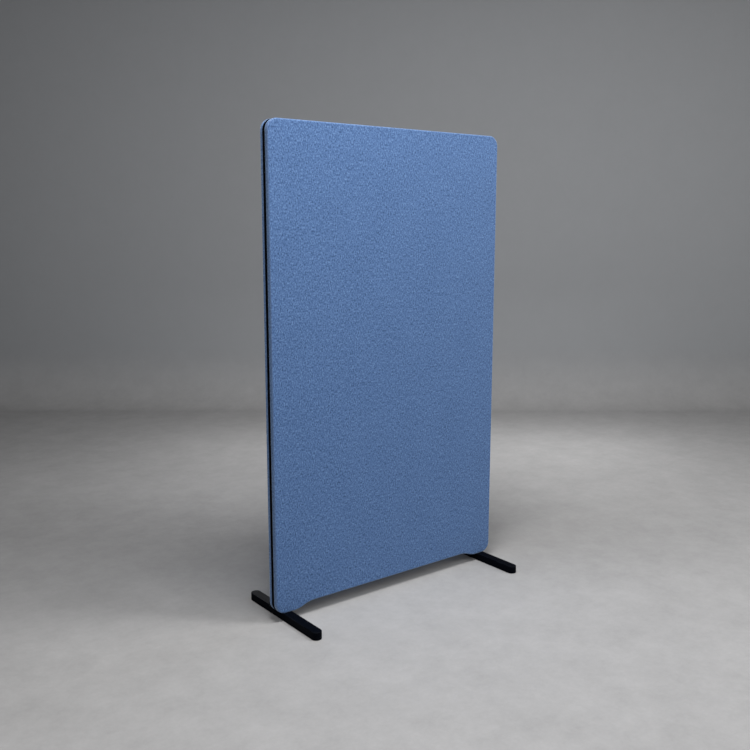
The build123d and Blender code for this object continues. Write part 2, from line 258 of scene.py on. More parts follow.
class Net:
    """Short ways to write a node tree."""

    def __init__(self, tree):
        self.tree = tree

    def feed(self, socket, value):
        """Links a node or socket to an input, or sets the input's own value."""
        if isinstance(value, bpy.types.Node):
            value = value.outputs[0]
        if isinstance(value, bpy.types.NodeSocket):
            self.tree.links.new(value, socket)
        else:
            socket.default_value = value

    def node(self, kind, inputs=None, **settings):
        """A new node with its settings and inputs."""
        made = self.tree.nodes.new(kind)
        for name, value in settings.items():
            setattr(made, name, value)
        for key, value in (inputs or {}).items():
            self.feed(made.inputs[key], value)
        return made

    def math(self, operation, *values):
        """A sum, product or other function of numbers."""
        made = self.node("ShaderNodeMath", operation=operation)
        for socket, value in zip(made.inputs, values):
            self.feed(socket, value)
        return made.outputs[0]

    def add(self, first, *others):
        """The sum of several numbers."""
        for other in others:
            first = self.math("ADD", first, other)
        return first

    def less(self, first, other):
        """The difference of two numbers."""
        return self.math("SUBTRACT", first, other)

    def scale(self, first, *others):
        """The product of several numbers."""
        for other in others:
            first = self.math("MULTIPLY", first, other)
        return first

    def point(self, x, y, z):
        """A vector from three numbers."""
        return self.node("ShaderNodeCombineXYZ", {"X": x, "Y": y, "Z": z}).outputs[0]

    def split(self, vector):
        """The three numbers of a vector."""
        return self.node("ShaderNodeSeparateXYZ", {"Vector": vector}).outputs


def new_object(name, vertices, edges=(), faces=()):
    """An object at the origin with a mesh in its place."""
    mesh = bpy.data.meshes.new(name)
    mesh.from_pydata([tuple(vertex) for vertex in vertices], list(edges), list(faces))
    mesh.update()
    made = bpy.data.objects.new(name, mesh)
    bpy.context.scene.collection.objects.link(made)
    return made


def solid_boxes(node):
    """The low and high corners and the middle of each solid of a CAD node, from left to right."""
    work = bmesh.new()
    work.from_mesh(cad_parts[node].data)
    bmesh.ops.remove_doubles(work, verts=work.verts, dist=0.01 * MM)
    waiting = set(work.verts)
    boxes = []
    while waiting:
        group = [waiting.pop()]
        for vertex in group:
            for edge in vertex.link_edges:
                other = edge.other_vert(vertex)
                if other in waiting:
                    waiting.discard(other)
                    group.append(other)
        low = Vector([min(vertex.co[axis] for vertex in group) for axis in range(3)])
        high = Vector([max(vertex.co[axis] for vertex in group) for axis in range(3)])
        boxes.append((low, high, (low + high) / 2))
    work.free()
    return sorted(boxes, key=lambda box: (round(box[0].x, 4), round(box[0].z, 4), box[0].y))


def along_slant(part):
    """How far along the slant the middle of a mesh's corner, edge or face lies."""
    corners = getattr(part, "verts", [part])
    return sum(SLANT.dot(corner.co) for corner in corners) / len(corners)


def settle(piece, body, node, material=None, angle=35.0):
    """Gives a finished piece its shading, material, body, slot and the CAD node it replaces."""
    if material:
        piece.data.materials.clear()
        piece.data.materials.append(material)
    piece.data.shade_smooth()
    piece.data.set_sharp_from_angle(angle=math.radians(angle))
    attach(piece, body)
    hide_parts(node)


def paint(material, *nodes):
    """Gives CAD nodes that stay as they are their finished material."""
    for node in nodes:
        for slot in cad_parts[node].material_slots:
            slot.material = material


# Materials


def start_material(name):
    """The writer of a new material's nodes, with the material and its main shader."""
    material = bpy.data.materials.new(f"{name}_finish")
    material.use_nodes = True
    net = Net(material.node_tree)
    net.material = material
    net.shader = next(node for node in net.tree.nodes if node.type == "BSDF_PRINCIPLED")
    return net


def finish(net, inputs, height=None, depth=0.0):
    """Feeds the main shader, with a bump where a height is given. Returns the material."""
    for name, value in inputs.items():
        net.feed(net.shader.inputs[name], value)
    if height is not None:
        bump = net.node("ShaderNodeBump", {"Height": height, "Distance": depth, "Strength": 1.0})
        net.feed(net.shader.inputs["Normal"], bump)
    return net.material


def place_in(net, source, scale=(1.0, 1.0, 1.0)):
    """Object or UV coordinates, scaled to a pattern."""
    coordinates = net.node("ShaderNodeTexCoord").outputs[source]
    return net.node("ShaderNodeMapping", {"Vector": coordinates, "Scale": scale})


def grain(net, source, scale, detail=2.0, roughness=0.5, distortion=0.0):
    """Noise from 0 to 1 on Object or UV coordinates, with one scale or one along each axis."""
    scale = scale if isinstance(scale, (tuple, list)) else (scale, scale, scale)
    made = net.node("ShaderNodeTexNoise", {
        "Vector": place_in(net, source, scale), "Scale": 1.0, "Detail": detail,
        "Roughness": roughness, "Distortion": distortion,
    })
    return made.outputs["Fac"]


def span(net, value, low, high, out_low=0.0, out_high=1.0, curve="LINEAR"):
    """A number moved from one range to another, held at its ends."""
    return net.node("ShaderNodeMapRange", {
        "Value": value, "From Min": low, "From Max": high, "To Min": out_low, "To Max": out_high,
    }, interpolation_type=curve).outputs[0]


def ramp(net, value, *stops):
    """Colours along a number: pairs of place and colour."""
    made = net.node("ShaderNodeValToRGB", {"Fac": value})
    elements = made.color_ramp.elements
    while len(elements) < len(stops):
        elements.new(0.5)
    for element, (place, shade) in zip(elements, stops):
        element.position = place
        element.color = (*shade, 1.0)
    return made.outputs["Color"]


def tones(net, value, shade, *stops):
    """One colour, darker and lighter along a number: pairs of place and factor."""
    return ramp(net, value, *(
        (place, tuple(part * factor for part in shade)) for place, factor in stops
    ))


def blend_colours(net, share, first, second, mode="MIX"):
    """Two colours mixed."""
    made = net.node("ShaderNodeMix", data_type="RGBA", blend_type=mode)
    net.feed(made.inputs[0], share)
    for socket, value in ((made.inputs[6], first), (made.inputs[7], second)):
        net.feed(socket, value if isinstance(value, bpy.types.NodeSocket) else (*value, 1.0))
    return made.outputs[2]


def dimmed(net, shade, factor):
    """A colour times a number."""
    return blend_colours(net, 1.0, shade, net.point(factor, factor, factor), "MULTIPLY")


def facing(net, normal, axis):
    """How squarely the surface faces along an axis, from 0 to 1."""
    geometry = net.node("ShaderNodeNewGeometry")
    return net.math("ABSOLUTE", net.split(geometry.outputs[normal])[axis])


def make_weave(colours):
    """Heathered wool cloth: a fine plain weave with flecked warp and weft yarns."""
    net = start_material("blue_wool_cloth")
    warp = grain(net, "UV", (620.0, 62.0, 1.0), detail=1.0)
    weft = grain(net, "UV", (70.0, 640.0, 1.0), detail=1.0)
    fleck = grain(net, "UV", (225.0, 160.0, 1.0), roughness=0.6)
    cloud = grain(net, "UV", (9.0, 6.0, 1.0))
    yarn = net.add(
        net.scale(warp, 0.28), net.scale(weft, 0.18), net.scale(fleck, 0.51), net.scale(cloud, 0.03)
    )
    shade = ramp(
        net, span(net, yarn, 0.39, 0.61),
        (0.0, colours.cloth_dark), (0.5, colours.cloth), (1.0, colours.cloth_light),
    )
    # The rounded edges get a paler cloth colour: a painted highlight where they catch the light.
    lean = facing(net, "True Normal", 1)
    rim = net.scale(span(net, lean, 0.0, 0.25), span(net, lean, 0.995, 0.85), 0.38)
    shade = blend_colours(net, rim, shade, colours.cloth_rim_highlight)
    radians_per_metre = 2415.0
    across = net.split(place_in(net, "UV", (radians_per_metre, radians_per_metre, 1.0)))
    over = net.scale(net.math("SINE", across[0]), net.math("SINE", across[1]))
    weave = net.add(net.scale(over, 0.28), 0.5, net.scale(net.less(fleck, 0.5), 0.9))
    return finish(net, {
        # Darker where the weave dips: painted shade between the yarns.
        "Base Color": dimmed(net, shade, span(net, over, -1.0, 0.2, 0.80, 1.0)),
        "Roughness": span(net, yarn, 0.3, 0.7, 0.84, 0.96),
        "Specular IOR Level": 0.25,
        "Sheen Weight": 1.0,
        "Sheen Roughness": 0.33,
        "Sheen Tint": (0.74, 0.88, 1.0, 1.0),
    }, weave, 0.35 * MM)


def make_felt(name, shade, fibre):
    """Pressed fibres: the pads and the core slabs."""
    net = start_material(name)
    long = grain(net, "Object", (fibre, fibre * 0.4, fibre * 0.16), 3.0, 0.6, 1.5)
    short = grain(net, "Object", 1400.0)
    tone = net.add(net.scale(long, 0.7), net.scale(short, 0.3))
    return finish(net, {
        "Base Color": tones(net, tone, shade, (0.3, 0.62), (0.7, 1.25)),
        "Roughness": 0.95,
        "Sheen Weight": 0.2,
    }, tone, 0.6 * MM)


def make_board(colours):
    """Brown pressed fibre board with pale specks."""
    net = start_material("brown_fibre_board")
    speck = grain(net, "Object", 900.0, detail=3.0, roughness=0.7)
    cloud = grain(net, "Object", 40.0)
    tone = net.add(net.scale(speck, 0.75), net.scale(cloud, 0.25))
    return finish(net, {
        "Base Color": tones(net, tone, colours.board, (0.32, 0.6), (0.7, 1.3)),
        "Roughness": span(net, speck, 0.3, 0.7, 0.55, 0.8),
    }, speck, 0.12 * MM)


def make_timber(name, pale, dark, along, stain=None, stain_top=0.0):
    """Planed wood with its grain along one axis, which may be stained below a height."""
    net = start_material(name)
    rings, pores = [75.0, 110.0, 75.0], [900.0, 900.0, 900.0]
    rings[along], pores[along] = 2.2, 28.0
    ring = grain(net, "Object", rings, distortion=0.6)
    lines = net.math("SINE", net.scale(ring, 46.0))
    pore = grain(net, "Object", pores)
    tone = net.add(net.scale(lines, 0.28), net.scale(pore, 0.35), 0.32)
    shade = ramp(net, tone, (0.2, dark), (0.75, pale))
    if stain:
        height = net.split(place_in(net, "Object"))[2]
        below = span(net, height, stain_top + 1 * MM, stain_top)
        shade = blend_colours(net, below, shade, stain)
    return finish(net, {
        "Base Color": shade, "Roughness": span(net, pore, 0.3, 0.7, 0.5, 0.72),
    }, tone, 0.1 * MM)


def make_plastic(name, shade, rough, along=None, specular=0.5):
    """Moulded or drawn plastic with a fine texture, and faint drawing lines where it is drawn."""
    net = start_material(name)
    fine = grain(net, "Object", 2200.0)
    scale = [700.0, 700.0, 700.0]
    if along is not None:
        scale[along] = 9.0
    tone = net.add(net.scale(fine, 0.4), net.scale(grain(net, "Object", scale), 0.6))
    return finish(net, {
        "Base Color": tones(net, tone, shade, (0.3, 0.8), (0.7, 1.25)),
        "Roughness": span(net, tone, 0.3, 0.7, rough - 0.06, rough + 0.08),
        "Specular IOR Level": specular,
    }, tone, 0.05 * MM)


def make_coat(colours):
    """Black powder coat: an even orange peel; its rounded edges are rubbed a little and paler as a
    painted highlight.
    """
    net = start_material("black_powder_coat")
    peel = grain(net, "Object", 1100.0, detail=1.0, roughness=0.4)
    fleck = grain(net, "Object", 3600.0, detail=1.0)
    rub = grain(net, "Object", (60.0, 22.0, 60.0), detail=3.0, roughness=0.6)
    # Rounded edges turn paler where a noise says: partly rubbed wear, partly a painted highlight.
    lean = facing(net, "Normal", 2)
    edge = net.scale(span(net, lean, 0.15, 0.5), span(net, lean, 0.97, 0.8))
    rubbed_and_highlit = net.scale(edge, span(net, rub, 0.42, 0.68))
    base = tones(net, fleck, colours.coat, (0.35, 0.75), (0.65, 1.0))
    return finish(net, {
        "Base Color": blend_colours(net, rubbed_and_highlit, base, colours.wear),
        "Roughness": net.add(span(net, peel, 0.3, 0.7, 0.50, 0.62), net.scale(rub, 0.06)),
        "Specular IOR Level": 0.02,
    }, net.add(net.scale(peel, 0.8), net.scale(fleck, 0.2)), 0.09 * MM)


def make_metal(name, shade, rough, metallic=1.0):
    """Plated or turned metal with fine marks."""
    net = start_material(name)
    mark = grain(net, "Object", 1500.0, detail=3.0, roughness=0.7)
    tarnish = grain(net, "Object", 160.0)
    return finish(net, {
        "Base Color": tones(net, tarnish, shade, (0.3, 0.75), (0.65, 1.1)),
        "Roughness": span(net, mark, 0.3, 0.7, rough - 0.08, rough + 0.1),
        "Metallic": metallic,
    }, mark, 0.03 * MM)


def make_floor(colours, studio):
    """The pale studio floor, cloudy, with a painted shadow round the screen, and the wall behind,
    painted darker low down.
    """
    net = start_material("studio_sweep")
    cloud = grain(net, "Object", 1.1, detail=4.0, roughness=0.55)
    spot = grain(net, "Object", 6.0, detail=5.0, roughness=0.85)
    fine = grain(net, "Object", 28.0)
    place = place_in(net, "Object")
    height = net.split(place)[2]
    up = span(net, height, 0.0, studio.sweep_radius * 1.2)
    # The wall is painted darker near its foot and lighter higher up: painted shade and light.
    wall = dimmed(net, colours.wall, span(net, height, 0.2, 2.8, 0.89, 1.15))
    shade = blend_colours(net, up, colours.floor, wall)
    away = net.node("ShaderNodeVectorMath", {0: net.node("ShaderNodeMapping", {
        "Vector": place, "Location": PAINTED_SHADOW_PLACE,
        "Rotation": (0.0, 0.0, -studio.camera_yaw), "Scale": PAINTED_SHADOW_REACH,
    }, vector_type="TEXTURE")}, operation="LENGTH").outputs["Value"]
    # A painted shadow: the floor darkened to 0.74 of its colour round the screen.
    shade = dimmed(net, shade, span(net, away, 0.0, 1.0, 0.74, 1.0, "SMOOTHSTEP"))
    change = net.add(net.scale(cloud, 0.10), net.scale(spot, 0.46), -0.28)
    fade = net.less(1.0, net.scale(up, 0.8))
    return finish(net, {
        "Base Color": dimmed(net, shade, net.add(net.scale(change, fade), 1.0)),
        "Roughness": span(net, fine, 0.3, 0.7, 0.72, 0.85),
        "Specular IOR Level": 0.25,
    })


# Panel outline and skins


def arc_run(centre, radius, start, end, steps, way_out=1.0):
    """Points on an arc between two angles in degrees, each with its way out of the panel."""
    run = []
    for index in range(steps + 1):
        angle = math.radians(start + (end - start) * index / steps)
        way = Vector((math.cos(angle), math.sin(angle)))
        run.append((Vector(centre) + radius * way, way_out * way))
    return run


def straight_run(start, end, way, step):
    """Points on a straight line, each with its way out of the panel."""
    start, end = Vector(start), Vector(end)
    steps = max(1, round((end - start).length / step))
    return [(start.lerp(end, index / steps), Vector(way)) for index in range(steps + 1)]


def chain(first, *others):
    """Runs joined end to end, with each shared point kept once."""
    return first + [point for run in others for point in run[1:]]


def mirrored(run):
    """A run on the other side of the panel, in the other direction."""
    return [(Vector((-point.x, point.y)), Vector((-way.x, way.y))) for point, way in reversed(run)]


def panel_sides(sizes, step, turns):
    """The outline's bottom, right, top and left sides, which meet in the middle of its corners."""
    radius, bend = sizes.corner_radius, sizes.arch_radius
    side, under, over = sizes.width / 2, sizes.lug_height, sizes.height
    corner_x, low, high = side - radius, under + radius, over - radius
    swing = math.acos(1 - sizes.arch_rise / (2 * bend))
    lug_x = side - sizes.lug_width
    arch_x, arch_z = lug_x - 2 * bend * math.sin(swing), under + sizes.arch_rise
    swing = math.degrees(swing)
    lug = chain(
        arc_run((-corner_x, low), radius, 225, 270, turns),
        straight_run((-corner_x, under), (-lug_x, under), (0, -1), step),
        arc_run((-lug_x, under + bend), bend, -90, swing - 90, turns),
        arc_run((-arch_x, arch_z - bend), bend, 90 + swing, 90, turns, -1.0),
    )
    arch = straight_run((-arch_x, arch_z), (arch_x, arch_z), (0, -1), step)
    bottom = chain(lug, arch, mirrored(lug))
    left_top = arc_run((-corner_x, high), radius, 135, 90, turns)
    inner = bottom[turns + 1:-turns - 1]
    top = left_top + [(Vector((point.x, over)), Vector((0, 1))) for point, way in inner]
    top += mirrored(left_top)
    left = chain(
        arc_run((-corner_x, low), radius, 225, 180, turns),
        straight_run((-side, low), (-side, high), (-1, 0), step),
        arc_run((-corner_x, high), radius, 180, 135, turns),
    )
    return bottom, mirrored(left)[::-1], top, left


def face_points(sides, inset):
    """Points over the face inside a ring, row by row from low to high, and the length of a row."""
    bottom, right, top, left = [[point - inset * way for point, way in side] for side in sides]
    points = []
    for low, high in zip(left, right):
        v = (low.y - left[0].y) / (left[-1].y - left[0].y)
        for under, over in zip(bottom, top):
            u = (over.x - top[0].x) / (top[-1].x - top[0].x)
            corners = (bottom[0] * (1 - u) + bottom[-1] * u) * (1 - v)
            corners += (top[0] * (1 - u) + top[-1] * u) * v
            points.append(under * (1 - v) + over * v + low * (1 - u) + high * u - corners)
    return points, len(bottom)


def ring_of(sides):
    """The whole outline as one closed ring, anticlockwise."""
    bottom, right, top, left = sides
    return bottom + right[1:] + top[::-1][1:] + left[::-1][1:-1]


def border_of(columns, count):
    """Indices of a grid's border, in the ring's order."""
    bottom = list(range(columns))
    right = list(range(2 * columns - 1, count, columns))
    top = list(range(count - 2, count - columns - 1, -1))
    left = list(range(count - 2 * columns, 0, -columns))
    return bottom + right + top + left


def panel_skin(name, sides, profile, lift, hand, closed=False):
    """A skin with the panel's outline: a face, then rings along a profile of insets and depths.

    The profile's first step is the face's own inset and depth. lift moves a point of the face
    outwards. hand is 1 for the front and -1 for the rear, which is its mirror image.
    """
    face_inset, depth = profile[0]
    flat, columns = face_points(sides, face_inset)
    points = [(point.x, -hand * (depth + lift(point.x, point.y)), point.y) for point in flat]
    places = [tuple(point) for point in flat]
    faces = [
        (first, first + 1, first + 1 + columns, first + columns)
        for first in range(len(flat) - columns) if (first + 1) % columns
    ]
    border = before = border_of(columns, len(flat))
    back_faces = [(face[0], *face[:0:-1]) for face in faces]
    ring = ring_of(sides)
    travelled = 0.0
    for old, (inset, depth) in zip(profile, profile[1:]):
        travelled += math.dist(old, (inset, depth))
        after = range(len(points), len(points) + len(ring))
        for point, way in ring:
            place = point - inset * way
            points.append((place.x, -hand * depth, place.y))
            places.append(tuple(point - (face_inset - travelled) * way))
        for index, first in enumerate(before):
            other = (index + 1) % len(ring)
            faces.append((first, after[index], after[other], before[other]))
        before = after
    if closed:
        vertex_at = dict(zip(border, before))
        for index, point in enumerate(face_points(sides, inset)[0]):
            if index not in vertex_at:
                vertex_at[index] = len(points)
                points.append((point.x, -hand * depth, point.y))
                places.append(tuple(point))
        faces += [tuple(vertex_at[corner] for corner in face) for face in back_faces]
    made = new_object(name, points, (), faces if hand > 0 else [face[::-1] for face in faces])
    uv = made.data.uv_layers.new(name="UVMap")
    shift = 0.0 if hand > 0 else REAR_UV_SHIFT
    for loop in made.data.loops:
        x, z = places[loop.vertex_index]
        uv.data[loop.index].uv = (x + shift, z)
    return made


def quarter_profile(radius, depth, steps):
    """Insets and depths of a quarter round from a face back to the sides."""
    angles = [math.pi / 2 * index / steps for index in range(steps + 1)]
    return [(radius * (1 - math.sin(a)), depth - radius * (1 - math.cos(a))) for a in angles]


# Geometry Nodes


def bake(piece, modifier):
    """Keeps what a modifier makes as the piece's plain mesh. Returns the piece."""
    bpy.context.view_layer.update()
    evaluated = piece.evaluated_get(bpy.context.evaluated_depsgraph_get())
    mesh = bpy.data.meshes.new_from_object(evaluated)
    piece.modifiers.remove(modifier)
    if not len(mesh.polygons):
        raise RuntimeError(f"nothing was made on {piece.name}")
    for attribute in [item for item in mesh.attributes if item.name == "turn"]:
        mesh.attributes.remove(attribute)
    mesh.name = piece.name
    piece.data = mesh
    return piece


class Tree(Net):
    """A Geometry Nodes tree with a named input for each size that it uses."""

    def __init__(self, name, sizes, *fields):
        super().__init__(bpy.data.node_groups.new(name, "GeometryNodeTree"))
        self.values = {}
        self.socket("Geometry")
        for field in fields:
            made = self.socket(sizes.bl_rna.properties[field].name, "Float")
            made.subtype = "DISTANCE"
            made.default_value = self.values[made.identifier] = getattr(sizes, field)
        self.material_key = self.socket("Material", "Material").identifier
        self.socket("Geometry", in_out="OUTPUT")
        outputs = [socket for socket in self.node("NodeGroupInput").outputs if socket.name]
        self.host, *self.given, self.material = outputs

    def socket(self, name, kind="Geometry", in_out="INPUT"):
        """A new named input or output of the tree."""
        kind = f"NodeSocket{kind}"
        return self.tree.interface.new_socket(name, in_out=in_out, socket_type=kind)

    def geo(self, kind, **values):
        """A geometry node. Values with a capital are its inputs, and the others its settings."""
        inputs = {key.replace("_", " "): value for key, value in values.items() if key[0].isupper()}
        settings = {key: value for key, value in values.items() if key[0].islower()}
        return self.node(f"GeometryNode{kind}", inputs, **settings)

    def end(self, geometry, on_points=True):
        """Ends in Realize Instances and Set Material, with a body on each point. Returns itself."""
        if on_points:
            turn = self.geo("InputNamedAttribute", data_type="FLOAT_VECTOR", Name="turn")
            rotation = self.node("FunctionNodeEulerToRotation", {"Euler": turn})
            geometry = self.geo(
                "InstanceOnPoints", Points=self.host, Instance=geometry, Rotation=rotation,
            )
        real = self.geo("RealizeInstances", Geometry=geometry)
        painted = self.geo("SetMaterial", Geometry=real, Material=self.material)
        self.node("NodeGroupOutput", {"Geometry": painted})
        return self

    def run(self, host, material):
        """Runs the tree on an object, which keeps the result as its plain mesh."""
        modifier = host.modifiers.new(self.tree.name, "NODES")
        modifier.node_group = self.tree
        for key, value in self.values.items():
            modifier[key] = value
        modifier[self.material_key] = material
        return bake(host, modifier)

    def run_on(self, name, places, material):
        """Runs the tree on a new object of bare points, given with the turn at each."""
        host = new_object(name, [place for place, turn in places])
        turns = host.data.attributes.new("turn", "FLOAT_VECTOR", "POINT")
        for item, (place, turn) in zip(turns.data, places):
            item.vector = turn
        return self.run(host, material)

    def over(self, first, other):
        """One number divided by another."""
        return self.math("DIVIDE", first, other)

    def half(self, value):
        """Half a number."""
        return self.scale(value, 0.5)

    def minus(self, value):
        """A number with its sign changed."""
        return self.scale(value, -1.0)

    def pick(self, values):
        """A number from a list, by index."""
        made = self.geo("IndexSwitch", data_type="FLOAT")
        while len(made.index_switch_items) < len(values):
            made.index_switch_items.new()
        for socket, value in zip(made.inputs, (self.geo("InputIndex"), *values)):
            self.feed(socket, value)
        return made.outputs[0]

    def polyline(self, *axes):
        """A curve through points whose coordinates are lists, or one number for all."""
        count = max(len(values) for values in axes if isinstance(values, list))
        line = self.geo("MeshLine", Count=count)
        parts = [self.pick(part) if isinstance(part, list) else part for part in axes]
        placed = self.geo("SetPosition", Geometry=line, Position=self.point(*parts))
        return self.geo("MeshToCurve", Mesh=placed)

    def fillet(self, curve, radius):
        """A curve with rounded corners."""
        return self.geo("FilletCurve", mode="POLY", Curve=curve, Count=2, Radius=radius)

    def ring(self, count, radius):
        """A circle with so many points."""
        return self.geo("CurvePrimitiveCircle", Resolution=count, Radius=radius)

    def cylinder(self, count, radius, depth):
        """An upright cylinder or prism round the origin."""
        return self.geo("MeshCylinder", Vertices=count, Radius=radius, Depth=depth)

    def drawn(self, path, profile, scale=1.0):
        """A profile drawn along a path, with closed ends."""
        return self.geo(
            "CurveToMesh", Curve=path, Profile_Curve=profile, Scale=scale, Fill_Caps=True,
        )

    def turned(self, stations, around):
        """A shape turned about Z, from stations of height and radius."""
        path = self.polyline(0.0, 0.0, [height for height, radius in stations])
        radii = self.pick([radius for height, radius in stations])
        return self.drawn(path, self.ring(around, 1.0), radii)

    def thread(self, radius, depth, pitch, low, high, around, per_turn):
        """A threaded rod between two heights: an off-centre circle that turns as it rises."""
        length = self.less(high, low)
        count = self.math("CEIL", self.scale(self.over(length, pitch), per_turn))
        last = self.less(count, 1.0)
        start = self.point(0.0, 0.0, low)
        step = self.point(0.0, 0.0, self.over(length, last))
        line = self.geo("MeshLine", Count=count, Start_Location=start, Offset=step)
        index = self.geo("InputIndex")
        tilt = self.scale(index, 2 * math.pi / per_turn)
        tilted = self.geo("SetCurveTilt", Curve=self.geo("MeshToCurve", Mesh=line), Tilt=tilt)
        half = self.half(depth)
        off_centre = self.moved(self.ring(around, self.less(radius, half)), half, 0.0, 0.0)
        from_end = self.math("MINIMUM", index, self.less(last, index))
        return self.drawn(tilted, off_centre, span(self, from_end, 0.0, 5.0, 0.82, 1.0))

    def moved(self, body, x, y, z):
        """A body moved."""
        return self.geo("Transform", Geometry=body, Translation=self.point(x, y, z))

    def joined(self, *parts):
        """Several geometries as one."""
        made = self.geo("JoinGeometry")
        for part in reversed(parts):
            self.feed(made.inputs[0], part)
        return made

    def cut(self, body, *cutters):
        """A body with cutters taken from it."""
        made = self.geo("MeshBoolean", operation="DIFFERENCE", Mesh_1=body)
        for cutter in cutters:
            self.feed(made.inputs["Mesh 2"], cutter)
        return made


def staple_tree(sizes):
    """Staples: a bent wire on each point, with its legs towards -Y."""
    net = Tree("Staples", sizes, "staple_crown", "staple_leg", "staple_wire", "staple_bend")
    crown, leg, wire, bend = net.given
    half = net.half(wire)
    right = net.less(net.half(crown), half)
    left, far, near = [net.minus(part) for part in (right, leg, half)]
    line = net.polyline([left, left, right, right], [far, near, near, far], 0.0)
    return net.end(net.drawn(net.fillet(line, bend), net.ring(6, half)))


def clip_tree(sizes):
    """Push-in clip studs: a flange, a spigot one way and a stem with a bulb the other way."""
    net = Tree("Clip studs", sizes, "flange", "spigot", "stem", "bulb")
    flange, spigot, stem, bulb = net.given
    rim = net.scale(flange, 0.98)
    return net.end(net.turned([
        (-4 * MM, net.scale(spigot, 0.94)), (-3.8 * MM, spigot), (-1.01 * MM, spigot),
        (-1 * MM, rim), (-0.9 * MM, flange), (-0.1 * MM, flange), (0.0, rim), (0.01 * MM, stem),
        (4.5 * MM, stem), (5 * MM, bulb), (5.8 * MM, bulb), (6.5 * MM, net.scale(bulb, 0.86)),
    ], around=20))


def dowel_tree(sizes):
    """Fluted dowels with tapered ends."""
    net = Tree("Frame dowels", sizes, "dowel", "dowel_length", "dowel_taper", "flute")
    radius, length, taper, flute = net.given
    half, narrow = net.half(length), net.scale(radius, 0.85)
    shoulder = net.less(half, taper)
    path = net.polyline(0.0, 0.0, [net.minus(half), net.minus(shoulder), shoulder, half])
    share = net.over(net.less(radius, flute), radius)
    star = net.geo("CurveStar", Points=12, Outer_Radius=1.0, Inner_Radius=share)
    return net.end(net.drawn(path, star, net.pick([narrow, radius, radius, narrow])))


def channel_tree(sizes):
    """A C-shaped channel with rounded edges, drawn along the host's line of points."""
    net = Tree("Edge channel", sizes, "depth", "width", "base", "wall", "lip", "mouth", "edge")
    depth, width, base, wall, lip, mouth, edge = net.given
    outer, slot = net.half(width), net.half(mouth)
    inner, under = net.less(outer, wall), net.less(depth, lip)
    across = [outer, outer, slot, slot, inner, inner]
    across += [net.minus(part) for part in reversed(across)]
    out = [0.0, depth, depth, under, under, base]
    line = net.polyline(across, out + out[::-1], 0.0)
    section = net.geo("SetSplineCyclic", Geometry=line, Cyclic=True)
    path = net.geo("MeshToCurve", Mesh=net.host)
    upright = net.geo("SetCurveNormal", mode="FREE", Curve=path, Normal=(0.0, 1.0, 0.0))
    return net.end(net.drawn(upright, net.fillet(section, edge)), on_points=False)


def screw_hole_tree(sizes):
    """Cones where the countersunk heads go."""
    net = Tree("Screw holes", sizes, "head", "head_height", "shank")
    head, height, shank = net.given
    head, shank = [net.add(net.half(part), PLAY) for part in (head, shank)]
    return net.end(net.turned([
        (-3 * MM, shank), (net.minus(height), shank), (0.0, head), (1 * MM, head),
    ], around=24))


def channel_screw_tree(sizes):
    """Countersunk screws with a cross recess, which point down from each point."""
    net = Tree("Channel screws", sizes, "head", "head_height", "shank", "length", "pitch",
               "thread", "recess", "recess_width", "recess_depth")
    head, height, shank, length, pitch, depth, long, wide, deep = net.given
    radius, shank, under = net.half(head), net.half(shank), net.minus(height)
    cone = net.turned([
        (net.less(under, 0.6 * MM), shank), (under, shank), (-0.2 * MM, radius),
        (-0.05 * MM, net.scale(radius, 0.99)), (0.0, net.scale(radius, 0.95)),
    ], around=24)
    deep = net.scale(deep, 2.0)
    bars = [
        net.geo("MeshCube", Size=net.point(x, y, deep))
        for x, y in ((long, wide), (wide, long))
    ]
    tip, neck = net.minus(length), net.less(under, 0.4 * MM)
    rod = net.thread(shank, depth, pitch, tip, neck, around=10, per_turn=6)
    return net.end(net.joined(net.cut(cone, *bars), rod))


def foot_screw_tree(sizes):
    """Socket-head screws that point up from each point, where their heads' faces are."""
    net = Tree("Foot screws", sizes, "screw_head", "screw_head_height", "screw_radius",
               "screw_length", "screw_pitch", "screw_thread", "socket", "socket_depth")
    head, top, radius, length, pitch, depth, socket, deep = net.given
    body = net.turned([
        (0.0, net.scale(head, 0.93)), (0.15 * MM, net.scale(head, 0.98)), (0.4 * MM, head),
        (top, head),
    ], around=32)
    hexagon = net.cylinder(6, socket, net.scale(deep, 2.0))
    tip = net.add(top, length)
    rod = net.thread(radius, depth, pitch, top, tip, around=12, per_turn=6)
    return net.end(net.joined(net.cut(body, hexagon), rod))


def insert_tree(sizes):
    """Inserts with a coarse outer thread and a bore, which stand on each point."""
    net = Tree("Foot inserts", sizes, "insert", "insert_length", "insert_pitch", "insert_thread",
               "screw_radius")
    radius, length, pitch, depth, bore = net.given
    body = net.thread(radius, depth, pitch, 0.0, length, around=20, per_turn=12)
    return net.end(net.cut(body, net.cylinder(24, net.add(bore, PLAY), net.scale(length, 3.0))))


def glide_pad_tree(sizes):
    """Glide pads: turned discs with a rounded lower edge and a seat for the stud."""
    net = Tree("Glide pads", sizes, "radius", "height", "edge", "stud")
    radius, height, edge, stud = net.given
    stations = [(0.0, net.less(radius, edge))]
    for share in (0.134, 0.5, 1.0):
        drawn_in = net.scale(edge, 1 - math.sqrt(1 - (1 - share) ** 2))
        stations.append((net.scale(edge, share), net.less(radius, drawn_in)))
    for below, drawn_in in ((0.4 * MM, 0.0), (0.1 * MM, 0.2 * MM), (0.0, 0.5 * MM)):
        stations.append((net.less(height, below), net.less(radius, drawn_in)))
    seat = net.moved(net.cylinder(32, stud, height), 0.0, 0.0, height)
    return net.end(net.cut(net.turned(stations, around=48), seat))


def glide_stud_tree(sizes):
    """Threaded studs that stand on each point."""
    net = Tree("Glide studs", sizes, "stud", "thread", "pitch", "length")
    radius, depth, pitch, length = net.given
    return net.end(net.thread(radius, depth, pitch, 0.0, length, around=20, per_turn=10))


# Operators


